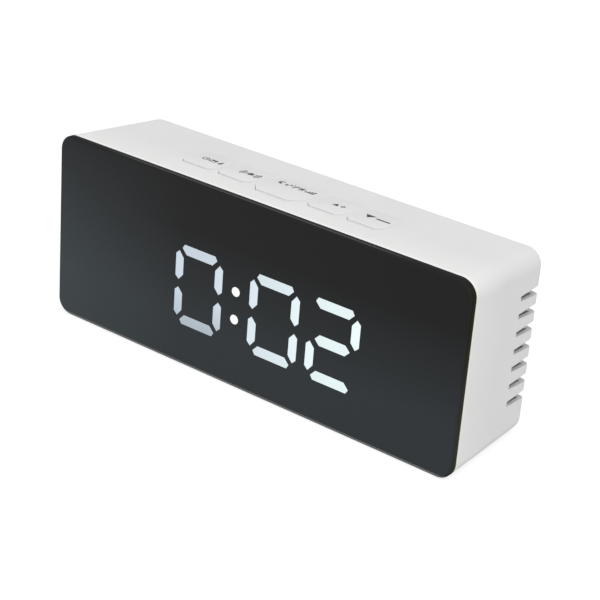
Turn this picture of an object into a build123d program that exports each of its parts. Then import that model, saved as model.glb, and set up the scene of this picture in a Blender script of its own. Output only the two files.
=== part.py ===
from build123d import *
import math
import os

# Digital LED desk clock: a white tub housing, a white front frame and a proud dark mirror panel.
# Axes: X runs along the clock, the panel faces -Y, Z is up. The origin is at the bottom centre.
# Depths are counted backwards from the front face of the panel.
os.makedirs("parts", exist_ok=True)

# Driving sizes of the whole clock, in millimetres
clock_width = 142.0
clock_height = 56.0
clock_depth = 37.4
case_taper = 2.25
corner_radius = 4.8
rear_radius = 2.0

# Walls and fits
case_wall = 2.0
rear_wall = 2.2
slide_gap = 0.15
fit_gap = 0.15
screw_gap = 0.1
overrun = 1.0

# Front panel and front frame
panel_thickness = 1.8
panel_bevel = 0.7
rim_depth = 1.4
rim_bevel = 0.35
seam_bevel = 0.15
tape_thickness = 0.2
tape_border = 2.5
bezel_wall = 1.8
lip_wall = 1.2
lip_depth = 4.2

# Display: four seven-bar digits and a colon
digit_width = 17.2
digit_height = 24.2
digit_pitch = 20.05
middle_pitch = 26.8
display_x = -3.3
display_z = 24.75
colon_diameter = 2.9
colon_spacing = 8.3
bar_width = 3.0
bar_half_outer = 5.6
bar_half_tip = 6.35
bar_half_inner = 4.7
bar_tip_inset = 1.2
middle_width = 3.2
middle_half_tip = 5.85
middle_half_edge = 4.3
side_width = 2.9
side_tip_inset = 1.2
side_tip_low = 1.1
side_tip_high = 9.9
side_outer_low = 2.2
side_outer_high = 8.8
side_inner_low = 2.9
side_inner_high = 7.9
mask_thickness = 0.15
diffuser_thickness = 0.25
reflector_margin = 3.4
reflector_depth = 6.0
lens_depth = 1.2
chip_length = 1.6
chip_width = 0.8
chip_height = 0.7

# Display board and what it carries
board_thickness = 1.6
board_margin = 5.0
board_screw_inset = 2.4
board_post_side = 4.8
clock_chip_length = 13.0
clock_chip_width = 7.5
clock_chip_height = 2.3
clock_chip_rise = 0.15
clock_chip_x = -22.0
clock_chip_z = 30.0
pin_count = 10
pin_pitch = 1.27
pin_width = 0.42
pin_reach = 1.45
pin_thickness = 0.25
crystal_diameter = 3.1
crystal_length = 8.2
crystal_x = -4.0
crystal_z = 30.0
capacitor_diameter = 6.3
capacitor_height = 7.0
capacitor_x = 12.0
capacitor_z = 15.0
capacitor_bevel = 0.5
resistor_length = 2.0
resistor_width = 1.25
resistor_height = 0.55
resistor_pitch = 3.2
resistor_count = 8
resistor_x = 22.0
resistor_z = 33.0
thermistor_diameter = 3.2
thermistor_thickness = 1.4
thermistor_lead_side = 0.5
thermistor_lead_length = 6.0
thermistor_lead_pitch = 1.2
thermistor_x = 37.0
thermistor_z = 14.0

# Buttons in the top, and their switches
key_row_x = -0.4
inner_key_x = 15.7
outer_key_x = 28.8
side_key_width = 11.6
side_key_corner = 1.5
side_key_corner_depth = 2.0
side_key_front = 9.1
snooze_key_width = 16.4
snooze_key_corner = 3.0
snooze_key_corner_depth = 3.6
snooze_key_front = 7.2
key_rear = 21.8
key_corner_radius = 0.8
key_rise = 0.4
key_travel = 0.3
key_flange = 0.6
key_flange_thickness = 1.0
stem_side = 4.2
stem_length = 1.4
switch_side = 6.0
switch_height = 3.5
plunger_side = 2.6
plunger_rise = 1.5
plunger_seat = 1.2
key_board_half_width = 41.3
key_board_front = 10.8
key_board_rear = 27.6
key_boss_diameter = 4.6
key_boss_x = 38.4
key_boss_middle = 19.2
key_boss_rear = 25.0
ribbon_width = 12.0
ribbon_thickness = 0.6
ribbon_drop = 3.0
ribbon_x = -12.0

# Vent slots round the two rear upright edges
vent_count = 7
vent_pitch = 5.11
vent_height = 1.45
vent_rear_height = 2.75
vent_top = 43.85
vent_start = 26.7
vent_wrap = 10.5

# Case screws
case_screw_x = 54.0
case_screw_low = 8.5
case_screw_high = 45.8
case_boss_diameter = 6.4
case_boss_end = 14.0
case_post_diameter = 8.6
case_screw_diameter = 2.9
case_head_diameter = 5.2
case_head_height = 2.0
case_head_seat = 20.0
case_screw_length = 12.0
small_screw_diameter = 2.0
small_head_diameter = 3.8
small_head_height = 1.4
small_screw_length = 5.0
screw_sides = 8
recess_length = 2.6
recess_width = 0.6
recess_depth = 0.7

# Three AAA cells behind a door in the back
cell_diameter = 10.5
cell_length = 44.5
cell_nub_diameter = 3.8
cell_nub_length = 1.0
cell_pitch = 11.5
cell_gap = 0.4
bay_x = -18.0
bay_z = 22.9
bay_wall = 1.2
bay_rib_width = 0.6
bay_rib_height = 3.0
spring_length = 5.9
spring_wire = 0.7
spring_turns = 2.0
spring_base_radius = 3.6
spring_tip_radius = 2.4
plate_thickness = 0.3
plate_side = 9.0
door_thickness = 1.6
door_ledge = 2.0
door_gap = 0.3
door_corner = 1.5
hook_width = 6.0
hook_spacing = 30.0
hook_reach = 1.2
hook_thickness = 1.1
hook_root = 3.0
lip_cover = 1.2
finger_width = 10.0
finger_length = 7.5
finger_slot = 0.9
thumb_notch_width = 13.0
thumb_notch_depth = 2.4

# Power inlet and buzzer at the back
jack_x = 36.0
jack_width = 8.0
jack_height = 6.4
jack_length = 11.0
jack_nose_diameter = 5.6
jack_bore_diameter = 3.6
jack_bore_depth = 9.0
jack_pin_diameter = 1.3
jack_pin_setback = 1.5
power_board_height = 5.0
power_board_thickness = 1.2
power_board_length = 16.0
power_board_width = 24.0
power_post_side = 4.6
power_post_x = 9.0
power_post_inset = 3.5
jack_lead_width = 2.6
jack_lead_thickness = 1.3
jack_lead_seat = 3.0
buzzer_x = 36.0
buzzer_z = 32.0
buzzer_diameter = 12.0
buzzer_height = 8.5
buzzer_rib_width = 3.0
buzzer_rib_wall = 1.2
buzzer_rib_height = 4.0
buzzer_rib_count = 4
buzzer_port_diameter = 2.0
sound_slot_width = 1.4
sound_slot_height = 8.0
sound_slot_pitch = 3.0
sound_slot_count = 3

# Places worked out from the sizes above
front_y = -clock_depth / 2
shell_depth = clock_depth - panel_thickness
housing_front = panel_thickness + rim_depth
bezel_front = panel_thickness + tape_thickness
bezel_rear = bezel_front + bezel_wall
lip_end = bezel_rear + lip_depth
reflector_front = panel_thickness + mask_thickness + diffuser_thickness
board_front = reflector_front + reflector_depth
board_rear = board_front + board_thickness
cavity_rear = clock_depth - rear_wall
slope = math.atan(case_taper / shell_depth)
reflector_width = middle_pitch + 2 * digit_pitch + digit_width + 2 * reflector_margin
reflector_height = digit_height + 2 * reflector_margin
board_height = reflector_height + 2 * board_margin
board_screw_x = reflector_width / 2 - board_screw_inset
board_screw_z = board_height / 2 - board_screw_inset
digit_places = [
    display_x + across * (middle_pitch / 2 + step * digit_pitch)
    for across, step in ((-1, 1), (-1, 0), (1, 0), (1, 1))
]


def upright(depth):
    """A plane like the panel's face, at this depth behind it; amounts below zero run to the back."""
    return Plane(origin=(0, front_y + depth, 0), x_dir=(1, 0, 0), z_dir=(0, -1, 0))


def narrowing(depth):
    """How far each side wall and the top have come in at this depth."""
    return case_taper * (depth - panel_thickness) / shell_depth


def case_block(start, end, inset=0):
    """The tapered case between two depths, shrunk all round by the inset, with its base flat."""
    near, far = front_y + start, front_y + end
    near_half = clock_width / 2 - inset - narrowing(start)
    far_half = clock_width / 2 - inset - narrowing(end)
    near_top = clock_height - inset - narrowing(start)
    far_top = clock_height - inset - narrowing(end)
    with BuildPart() as block:
        with BuildSketch(Plane.XY):
            Polygon(
                (-near_half, near), (near_half, near), (far_half, far), (-far_half, far), align=None
            )
        extrude(amount=clock_height)
        with BuildSketch(Plane.YZ):
            Polygon((near, inset), (far, inset), (far, far_top), (near, near_top), align=None)
        extrude(amount=clock_width / 2, both=True, mode=Mode.INTERSECT)
        corner_edges = block.edges().filter_by(lambda edge: abs((edge @ 1 - edge @ 0).Y) > fit_gap)
        fillet(corner_edges, corner_radius - inset)
    return block.part


def tape_outline():
    """The adhesive's outer edge, a border's width inside the panel's edge."""
    with Locations((0, clock_height / 2)):
        RectangleRounded(
            clock_width - 2 * tape_border, clock_height - 2 * tape_border, corner_radius - tape_border
        )


def in_top(height):
    """A plane along the sloping top, this far above it; its Y runs backwards down the slope."""
    up = Vector(0, math.sin(slope), math.cos(slope))
    origin = Vector(0, front_y + panel_thickness, clock_height) + up * height
    return Plane(origin=origin, x_dir=(1, 0, 0), z_dir=up)


def bar_shapes():
    """The seven bars of one digit about its centre, as lists of corners."""
    half_width, half_height = digit_width / 2, digit_height / 2
    top_bar = [
        (-bar_half_outer, half_height),
        (bar_half_outer, half_height),
        (bar_half_tip, half_height - bar_tip_inset),
        (bar_half_inner, half_height - bar_width),
        (-bar_half_inner, half_height - bar_width),
        (-bar_half_tip, half_height - bar_tip_inset),
    ]
    middle_bar = [
        (-middle_half_tip, 0),
        (-middle_half_edge, middle_width / 2),
        (middle_half_edge, middle_width / 2),
        (middle_half_tip, 0),
        (middle_half_edge, -middle_width / 2),
        (-middle_half_edge, -middle_width / 2),
    ]
    side_bar = [
        (half_width, side_outer_low),
        (half_width, side_outer_high),
        (half_width - side_tip_inset, side_tip_high),
        (half_width - side_width, side_inner_high),
        (half_width - side_width, side_inner_low),
        (half_width - side_tip_inset, side_tip_low),
    ]
    mirrored = [[(across * x, up * y) for x, y in side_bar] for across in (1, -1) for up in (1, -1)]
    low_bar = [(x, -y) for x, y in top_bar]
    return [top_bar, middle_bar, low_bar] + mirrored


def display_windows():
    """The outlines of all bars of the four digits and of the two colon dots."""
    for place in digit_places:
        for corners in bar_shapes():
            Polygon(*[(place + x, display_z + y) for x, y in corners], align=None)
    with Locations((display_x, display_z)):
        with GridLocations(0, colon_spacing, 1, 2):
            Circle(colon_diameter / 2)


def chip_places():
    """The middle of each bar and dot, where its light source sits."""
    side_x = (digit_width - side_width) / 2
    side_z = (side_tip_low + side_tip_high) / 2
    bar_z = (digit_height - bar_width) / 2
    spots = [(0, bar_z), (0, 0), (0, -bar_z)]
    spots += [(across * side_x, up * side_z) for across in (1, -1) for up in (1, -1)]
    places = [(place + x, display_z + z) for place in digit_places for x, z in spots]
    return places + [(display_x, display_z + up * colon_spacing / 2) for up in (1, -1)]


def key_outline(middle, width, front, corner, corner_depth, grow=0, rounding=key_corner_radius):
    """A button seen from above: two slanted front corners, square at the back."""
    half = width / 2
    with BuildSketch(Plane.XY) as shape:
        with BuildLine():
            Polyline(
                (middle - half, key_rear),
                (middle - half, front + corner_depth),
                (middle - half + corner, front),
                (middle + half - corner, front),
                (middle + half, front + corner_depth),
                (middle + half, key_rear),
                close=True,
            )
        make_face()
        if rounding:
            fillet(shape.vertices(), rounding)
        if grow:
            offset(amount=grow, kind=Kind.INTERSECTION)
    return shape.sketch


# Name, middle, width, front edge and slanted corner of each button, from left to right
side_key = (side_key_width, side_key_front, side_key_corner, side_key_corner_depth)
snooze_key = (snooze_key_width, snooze_key_front, snooze_key_corner, snooze_key_corner_depth)
keys = {
    "mode": (key_row_x - outer_key_x, *side_key),
    "alarm": (key_row_x - inner_key_x, *side_key),
    "snooze": (key_row_x, *snooze_key),
    "up": (key_row_x + inner_key_x, *side_key),
    "down": (key_row_x + outer_key_x, *side_key),
}
switch_y = (side_key_front + key_rear) / 2
flange_top = -(case_wall + slide_gap)
flange_bottom = flange_top - key_flange_thickness
plunger_top = flange_bottom - stem_length
switch_top = plunger_top - plunger_rise
key_board_top = switch_top - switch_height
key_board_bottom = key_board_top - board_thickness
key_boss_places = [(-key_boss_x, key_boss_middle), (0, key_boss_rear), (key_boss_x, key_boss_middle)]
case_screw_places = [
    (across * case_screw_x, z) for across in (-1, 1) for z in (case_screw_low, case_screw_high)
]
board_screw_places = [
    (display_x + across * board_screw_x, display_z + up * board_screw_z)
    for across in (-1, 1)
    for up in (-1, 1)
]

# Places in the back of the case
bay_length = cell_length + spring_length + 2 * plate_thickness
bay_height = 2 * cell_pitch + cell_diameter + 2 * cell_gap
door_inner = clock_depth - door_thickness
cell_depth = door_inner - cell_gap - cell_diameter / 2
bay_floor = cell_depth - cell_diameter / 2 - cell_gap
door_width = bay_length + 2 * door_ledge
door_height = bay_height + 2 * door_ledge
door_bottom = bay_z - door_height / 2
door_top = bay_z + door_height / 2
hook_depth = door_inner + (door_thickness - lip_cover)
hook_places = [(bay_x - hook_spacing / 2), (bay_x + hook_spacing / 2)]
cell_heights = {"lower": bay_z - cell_pitch, "middle": bay_z, "upper": bay_z + cell_pitch}
jack_z = power_board_height + power_board_thickness + jack_height / 2
power_post_places = [jack_x - power_post_x, jack_x + power_post_x]
power_board_rear = cavity_rear - fit_gap
power_post_depth = power_board_rear - power_board_length + power_post_inset

# Mirror panel: a flat plate with a bevelled front edge
with BuildPart() as mirror_panel:
    with BuildSketch(upright(0)):
        with Locations((0, clock_height / 2)):
            RectangleRounded(clock_width, clock_height, corner_radius)
    extrude(amount=-panel_thickness)
    front_face = mirror_panel.faces().sort_by(Axis.Y)[0]
    chamfer(front_face.edges(), panel_bevel)

# Adhesive frame between the panel and the front frame
with BuildPart() as panel_tape:
    with BuildSketch(upright(panel_thickness)):
        tape_outline()
        with Locations((display_x, display_z)):
            Rectangle(
                reflector_width + 2 * tape_border,
                reflector_height + 2 * tape_border,
                mode=Mode.SUBTRACT,
            )
    extrude(amount=-tape_thickness)

# Front frame: the rim that shows, a plate with the display opening, a lip inside the case,
# four screw bosses and four posts for the display board
with BuildPart() as front_frame:
    with BuildSketch(upright(panel_thickness)):
        with Locations((0, clock_height / 2)):
            RectangleRounded(clock_width, clock_height, corner_radius)
    extrude(amount=-rim_depth)
    chamfer(front_frame.faces().sort_by(Axis.Y)[0].edges(), rim_bevel)
    add(case_block(housing_front, lip_end, case_wall + fit_gap))
    add(
        case_block(bezel_rear, lip_end + overrun, case_wall + fit_gap + lip_wall),
        mode=Mode.SUBTRACT,
    )
    with BuildSketch(upright(bezel_rear)):
        with Locations(*case_screw_places):
            Circle(case_boss_diameter / 2)
    extrude(amount=-(case_boss_end - bezel_rear))
    with BuildSketch(upright(bezel_rear)):
        with Locations(*board_screw_places):
            Rectangle(board_post_side, board_post_side)
    extrude(amount=-(board_front - bezel_rear))
    with BuildSketch(upright(case_boss_end)):
        with Locations(*case_screw_places):
            RegularPolygon(case_screw_diameter / 2 + screw_gap, screw_sides)
    extrude(amount=case_boss_end - bezel_rear, mode=Mode.SUBTRACT)
    with BuildSketch(upright(board_front)):
        with Locations(*board_screw_places):
            RegularPolygon(small_screw_diameter / 2 + screw_gap, screw_sides)
    extrude(amount=board_front - bezel_rear, mode=Mode.SUBTRACT)
    with BuildSketch(upright(panel_thickness)):
        tape_outline()
    extrude(amount=-tape_thickness, mode=Mode.SUBTRACT)
    with BuildSketch(upright(panel_thickness)):
        with Locations((display_x, display_z)):
            Rectangle(reflector_width + 2 * fit_gap, reflector_height + 2 * fit_gap)
    extrude(amount=-(bezel_rear - panel_thickness + overrun), mode=Mode.SUBTRACT)

# Rear housing: a tapered tub with vent slots round its rear edges, button openings in the top,
# a battery bay, screw posts, key board bosses, the inlet hole and ribs for the buzzer
with BuildPart() as rear_housing:
    add(case_block(housing_front, clock_depth))
    chamfer(rear_housing.faces().sort_by(Axis.Y)[0].edges(), seam_bevel)
    fillet(rear_housing.faces().sort_by(Axis.Y)[-1].edges(), rear_radius)
    add(case_block(housing_front - overrun, cavity_rear, case_wall), mode=Mode.SUBTRACT)
    # Vent slots: each cut runs from the side wall round to the back, its floor falling a little,
    # because the cores that shape the slots draw out backwards
    vent_near, vent_far = front_y + vent_start, front_y + clock_depth + overrun
    for vent_side in (clock_width / 2 - vent_wrap, -clock_width / 2 - overrun):
        with BuildSketch(Plane.YZ.offset(vent_side)):
            for slot_top in [vent_top - step * vent_pitch for step in range(vent_count)]:
                Polygon(
                    (vent_near, slot_top),
                    (vent_far, slot_top),
                    (vent_far, slot_top - vent_rear_height),
                    (vent_near, slot_top - vent_height),
                    align=None,
                )
        extrude(amount=vent_wrap + overrun, mode=Mode.SUBTRACT)
    # Battery bay
    with BuildSketch(upright(bay_floor - bay_wall)):
        with Locations((bay_x, bay_z)):
            Rectangle(bay_length + 2 * bay_wall, bay_height + 2 * bay_wall)
    extrude(amount=-(cavity_rear - bay_floor + bay_wall))
    with BuildSketch(upright(bay_floor)):
        with Locations((bay_x, bay_z)):
            Rectangle(bay_length, bay_height)
    extrude(amount=-(clock_depth - bay_floor + overrun), mode=Mode.SUBTRACT)
    with BuildSketch(upright(bay_floor)):
        with Locations((bay_x, bay_z)):
            with GridLocations(0, cell_pitch, 1, 2):
                Rectangle(cell_length - 2 * spring_length, bay_rib_width)
    extrude(amount=-bay_rib_height)
    # Recess for the door, with pockets for its two hooks and a thumb notch over its finger
    with BuildSketch(upright(door_inner)):
        with Locations((bay_x, bay_z)):
            RectangleRounded(
                door_width + 2 * door_gap, door_height + 2 * door_gap, door_corner + door_gap
            )
    extrude(amount=-(door_thickness + overrun), mode=Mode.SUBTRACT)
    swing = math.hypot(clock_depth - hook_depth + hook_thickness, hook_reach) + door_gap
    with BuildSketch(upright(hook_depth + fit_gap)):
        for place in hook_places:
            with Locations((place, door_bottom - hook_reach - door_gap)):
                Rectangle(
                    hook_width + 2 * door_gap,
                    hook_reach + 2 * door_gap + door_ledge + bay_wall,
                    align=(Align.CENTER, Align.MIN),
                )
    extrude(amount=swing - (clock_depth - hook_depth - fit_gap), mode=Mode.SUBTRACT)
    with BuildSketch(upright(clock_depth)):
        with Locations((bay_x, door_top)):
            Ellipse(thumb_notch_width / 2, thumb_notch_depth)
    extrude(amount=lip_cover, mode=Mode.SUBTRACT)
    # Posts for the case screws
    with BuildSketch(upright(case_boss_end + fit_gap)):
        with Locations(*case_screw_places):
            Circle(case_post_diameter / 2)
    extrude(amount=-(cavity_rear - case_boss_end - fit_gap))
    with BuildSketch(upright(case_boss_end)):
        with Locations(*case_screw_places):
            RegularPolygon(case_screw_diameter / 2 + screw_gap, screw_sides)
    extrude(amount=-(clock_depth - case_boss_end), mode=Mode.SUBTRACT)
    with BuildSketch(upright(case_head_seat)):
        with Locations(*case_screw_places):
            Circle(case_head_diameter / 2 + 2 * screw_gap)
    extrude(amount=-(clock_depth - case_head_seat + overrun), mode=Mode.SUBTRACT)
    # Bosses for the key board, hanging from the sloping top
    with BuildSketch(in_top(-case_wall / 2)):
        with Locations(*key_boss_places):
            Circle(key_boss_diameter / 2)
    extrude(amount=key_board_top + case_wall / 2)
    with BuildSketch(in_top(key_board_top)):
        with Locations(*key_boss_places):
            RegularPolygon(small_screw_diameter / 2 + screw_gap, screw_sides)
    extrude(amount=small_screw_length, mode=Mode.SUBTRACT)
    # Button openings
    for key in keys.values():
        with BuildSketch(in_top(-(case_wall + overrun))):
            add(key_outline(*key, grow=slide_gap))
        extrude(amount=case_wall + 2 * overrun, mode=Mode.SUBTRACT)
    # Posts for the power board, the inlet hole, ribs round the buzzer and the sound slots
    with BuildSketch(Plane.XY.offset(case_wall)):
        with Locations(*[(place, front_y + power_post_depth) for place in power_post_places]):
            Rectangle(power_post_side, power_post_side)
    extrude(amount=power_board_height - case_wall)
    with BuildSketch(Plane.XY.offset(power_board_height)):
        with Locations(*[(place, front_y + power_post_depth) for place in power_post_places]):
            RegularPolygon(small_screw_diameter / 2 + screw_gap, screw_sides)
    extrude(amount=-(power_board_height - case_wall), mode=Mode.SUBTRACT)
    with BuildSketch(upright(cavity_rear - overrun)):
        with Locations((jack_x, jack_z)):
            Circle(jack_nose_diameter / 2 + fit_gap)
    extrude(amount=-(rear_wall + 2 * overrun), mode=Mode.SUBTRACT)
    rib_radius = (buzzer_diameter + buzzer_rib_wall) / 2 + fit_gap
    with BuildSketch(upright(cavity_rear)):
        with Locations((buzzer_x, buzzer_z)):
            with PolarLocations(rib_radius, buzzer_rib_count):
                Rectangle(buzzer_rib_wall, buzzer_rib_width)
    extrude(amount=buzzer_rib_height)
    with BuildSketch(upright(cavity_rear - overrun)):
        with Locations((buzzer_x, buzzer_z)):
            with GridLocations(sound_slot_pitch, 0, sound_slot_count, 1):
                Rectangle(sound_slot_width, sound_slot_height)
    extrude(amount=-(rear_wall + 2 * overrun), mode=Mode.SUBTRACT)

# Buttons: each cap stands proud at its front edge and runs flush at its back
key_parts = {}
for name, key in keys.items():
    middle, width, front = key[:3]
    with BuildPart() as key_cap:
        with BuildSketch(in_top(flange_top)):
            add(key_outline(*key))
        extrude(amount=key_rise - flange_top)
        wedge = slope + math.atan(key_rise / (key_rear - front))
        rear_line = in_top(0).from_local_coords(Vector(0, key_rear, 0))
        wedge_plane = Plane(
            origin=rear_line, x_dir=(1, 0, 0), z_dir=(0, math.sin(wedge), math.cos(wedge))
        )
        split(bisect_by=wedge_plane, keep=Keep.BOTTOM)
        with BuildSketch(in_top(flange_top)):
            add(key_outline(*key, grow=key_flange, rounding=0))
        extrude(amount=-key_flange_thickness)
        with BuildSketch(in_top(flange_bottom)):
            with Locations((middle, switch_y)):
                Rectangle(stem_side, stem_side)
        extrude(amount=-stem_length)
    with BuildPart() as plunger:
        with BuildSketch(in_top(plunger_top)):
            with Locations((middle, switch_y)):
                Rectangle(plunger_side, plunger_side)
        extrude(amount=-(plunger_rise + plunger_seat))
    key_parts[name + "_button"] = key_cap.part
    key_parts[name + "_plunger"] = plunger.part

# Tactile switches on the key board, bored for their plungers
switch_places = [(key[0], switch_y) for key in keys.values()]
with BuildPart() as tact_switches:
    with BuildSketch(in_top(key_board_top)):
        with Locations(*switch_places):
            Rectangle(switch_side, switch_side)
    extrude(amount=switch_height)
    with BuildSketch(in_top(switch_top)):
        with Locations(*switch_places):
            Rectangle(plunger_side + 2 * fit_gap, plunger_side + 2 * fit_gap)
    extrude(amount=-(plunger_seat + key_travel + fit_gap), mode=Mode.SUBTRACT)

# Key board under the buttons
with BuildPart() as key_board:
    with BuildSketch(in_top(key_board_bottom)):
        with Locations((0, key_board_front)):
            Rectangle(
                2 * key_board_half_width,
                key_board_rear - key_board_front,
                align=(Align.CENTER, Align.MIN),
            )
        with Locations(*key_boss_places):
            RegularPolygon(
                small_screw_diameter / 2 + 2 * screw_gap, screw_sides, mode=Mode.SUBTRACT
            )
    extrude(amount=board_thickness)

# Mask film: a clear sheet, printed dark all round the bars
with BuildPart() as mask_film:
    with BuildSketch(upright(panel_thickness)):
        with Locations((display_x, display_z)):
            Rectangle(reflector_width, reflector_height)
    extrude(amount=-mask_thickness)

# Diffuser film behind the mask
with BuildPart() as diffuser_film:
    with BuildSketch(upright(panel_thickness + mask_thickness)):
        with Locations((display_x, display_z)):
            Rectangle(reflector_width, reflector_height)
    extrude(amount=-diffuser_thickness)

# Reflector: a white block with an open light well for each bar
with BuildPart() as segment_reflector:
    with BuildSketch(upright(reflector_front)):
        with Locations((display_x, display_z)):
            Rectangle(reflector_width, reflector_height)
    extrude(amount=-reflector_depth)
    with BuildSketch(upright(reflector_front)):
        display_windows()
    extrude(amount=-reflector_depth, mode=Mode.SUBTRACT)

# Clear filling in the front of each well
with BuildPart() as segment_lenses:
    with BuildSketch(upright(reflector_front)):
        display_windows()
    extrude(amount=-lens_depth)

# Light sources on the front of the display board
with BuildPart() as led_chips:
    with BuildSketch(upright(board_front - chip_height)):
        with Locations(*chip_places()):
            Rectangle(chip_length, chip_width)
    extrude(amount=-chip_height)

# Display board
with BuildPart() as display_board:
    with BuildSketch(upright(board_front)):
        with Locations((display_x, display_z)):
            Rectangle(reflector_width, board_height)
        with Locations(*board_screw_places):
            RegularPolygon(
                small_screw_diameter / 2 + 2 * screw_gap, screw_sides, mode=Mode.SUBTRACT
            )
    extrude(amount=-board_thickness)

# Clock chip with two rows of pins
with BuildPart() as clock_chip:
    with BuildSketch(upright(board_rear + clock_chip_rise)):
        with Locations((clock_chip_x, clock_chip_z)):
            Rectangle(clock_chip_length, clock_chip_width)
    extrude(amount=-clock_chip_height)
    with BuildSketch(upright(board_rear)):
        with Locations((clock_chip_x, clock_chip_z)):
            with GridLocations(pin_pitch, clock_chip_width + pin_reach, pin_count, 2):
                Rectangle(pin_width, pin_reach)
    extrude(amount=-(clock_chip_rise + pin_thickness))

# Watch crystal lying on the board
with BuildPart() as clock_crystal:
    with BuildSketch(Plane.XY.offset(crystal_z - crystal_length / 2)):
        with Locations((crystal_x, front_y + board_rear + crystal_diameter / 2)):
            Circle(crystal_diameter / 2)
    extrude(amount=crystal_length)

# Supply capacitor standing off the board
with BuildPart() as supply_capacitor:
    with BuildSketch(upright(board_rear)):
        with Locations((capacitor_x, capacitor_z)):
            Circle(capacitor_diameter / 2)
    extrude(amount=-capacitor_height)
    chamfer(supply_capacitor.faces().sort_by(Axis.Y)[-1].edges(), capacitor_bevel)

# A row of chip resistors
with BuildPart() as chip_resistors:
    with BuildSketch(upright(board_rear)):
        with Locations((resistor_x, resistor_z)):
            with GridLocations(resistor_pitch, 0, resistor_count, 1):
                Rectangle(resistor_width, resistor_length)
    extrude(amount=-resistor_height)

# Thermistor: a small disc on two leads, near the vents
with BuildPart() as thermistor:
    with BuildSketch(upright(board_rear)):
        with Locations((thermistor_x, thermistor_z)):
            with GridLocations(thermistor_lead_pitch, 0, 2, 1):
                Rectangle(thermistor_lead_side, thermistor_lead_side)
    extrude(amount=-thermistor_lead_length)
    disc_side = Plane.XY.offset(thermistor_z - thermistor_thickness / 2)
    with BuildSketch(disc_side):
        with Locations((thermistor_x, front_y + board_rear + thermistor_lead_length)):
            Circle(thermistor_diameter / 2)
    extrude(amount=thermistor_thickness)


def crossed_recess():
    """The cross cut in a screw head."""
    Rectangle(recess_length, recess_width)
    Rectangle(recess_width, recess_length)


# Case screws, driven from the back, their heads at the bottom of the deep wells
with BuildPart() as case_screws:
    with BuildSketch(upright(case_head_seat)):
        with Locations(*case_screw_places):
            Circle(case_head_diameter / 2)
    extrude(amount=-case_head_height)
    with BuildSketch(upright(case_head_seat)):
        with Locations(*case_screw_places):
            RegularPolygon(case_screw_diameter / 2, screw_sides)
    extrude(amount=case_screw_length)
    with BuildSketch(upright(case_head_seat + case_head_height)):
        with Locations(*case_screw_places):
            crossed_recess()
    extrude(amount=recess_depth, mode=Mode.SUBTRACT)

# Display board screws, driven from the back into the posts of the front frame
with BuildPart() as board_screws:
    with BuildSketch(upright(board_rear)):
        with Locations(*board_screw_places):
            RegularPolygon(small_head_diameter / 2, screw_sides)
    extrude(amount=-small_head_height)
    with BuildSketch(upright(board_rear)):
        with Locations(*board_screw_places):
            RegularPolygon(small_screw_diameter / 2, screw_sides)
    extrude(amount=small_screw_length)

# Key board screws, driven from below into the bosses
with BuildPart() as key_board_screws:
    with BuildSketch(in_top(key_board_bottom)):
        with Locations(*key_boss_places):
            RegularPolygon(small_head_diameter / 2, screw_sides)
    extrude(amount=-small_head_height)
    with BuildSketch(in_top(key_board_bottom)):
        with Locations(*key_boss_places):
            RegularPolygon(small_screw_diameter / 2, screw_sides)
    extrude(amount=small_screw_length)

# Flat ribbon cable from the underside of the key board to the back of the display board
with BuildPart() as key_ribbon:
    under_board = in_top(key_board_bottom).from_local_coords(Vector(0, key_board_front, 0))
    ribbon_near = front_y + board_rear
    ribbon_far = under_board.Y + 2 * ribbon_drop
    ribbon_low = under_board.Z - ribbon_drop
    seat_far = under_board.Z - math.tan(slope) * (ribbon_far - under_board.Y)
    seat_near = seat_far + math.tan(slope) * ribbon_thickness
    with BuildSketch(Plane(origin=(ribbon_x, 0, 0), x_dir=(0, 1, 0), z_dir=(1, 0, 0))):
        Polygon(
            (ribbon_near, ribbon_low),
            (ribbon_far, ribbon_low),
            (ribbon_far, seat_far),
            (ribbon_far - ribbon_thickness, seat_near),
            (ribbon_far - ribbon_thickness, ribbon_low + ribbon_thickness),
            (ribbon_near, ribbon_low + ribbon_thickness),
            align=None,
        )
    extrude(amount=ribbon_width / 2, both=True)

# Battery door: a flush plate with two hooks below and a slotted latch finger above
with BuildPart() as battery_door:
    with BuildSketch(upright(door_inner)):
        with Locations((bay_x, bay_z)):
            RectangleRounded(door_width, door_height, door_corner)
        with Locations((bay_x, door_top - finger_length)):
            with GridLocations(finger_width + finger_slot, 0, 2, 1):
                Rectangle(finger_slot, finger_length + overrun, align=(Align.CENTER, Align.MIN),
                          mode=Mode.SUBTRACT)
    extrude(amount=-door_thickness)
    with BuildSketch(upright(hook_depth - hook_thickness)):
        for place in hook_places:
            with Locations((place, door_bottom - hook_reach)):
                Rectangle(hook_width, hook_reach + hook_root, align=(Align.CENTER, Align.MIN))
    extrude(amount=-hook_thickness)

# Three cells, their nubs turned about in series
cell_parts = {}
for index, (name, height) in enumerate(cell_heights.items()):
    turn = 1 if index % 2 == 0 else -1
    plate_end = bay_x + turn * (bay_length / 2 - plate_thickness)
    with BuildPart() as cell:
        with BuildSketch(Plane((plate_end, front_y + cell_depth, height), (0, 1, 0), (-turn, 0, 0))):
            Circle(cell_nub_diameter / 2)
        extrude(amount=cell_nub_length)
        body_end = plate_end - turn * cell_nub_length
        with BuildSketch(Plane((body_end, front_y + cell_depth, height), (0, 1, 0), (-turn, 0, 0))):
            Circle(cell_diameter / 2)
        extrude(amount=cell_length - cell_nub_length)
    cell_parts[name + "_cell"] = cell.part

# Contact plates at both ends of each cell
with BuildPart() as battery_plates:
    for across in (-1, 1):
        wall = bay_x + across * bay_length / 2
        with BuildSketch(Plane((wall, front_y + cell_depth, bay_z), (0, 1, 0), (-across, 0, 0))):
            with GridLocations(0, cell_pitch, 1, 3):
                Rectangle(plate_side, plate_side)
        extrude(amount=plate_thickness)

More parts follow.
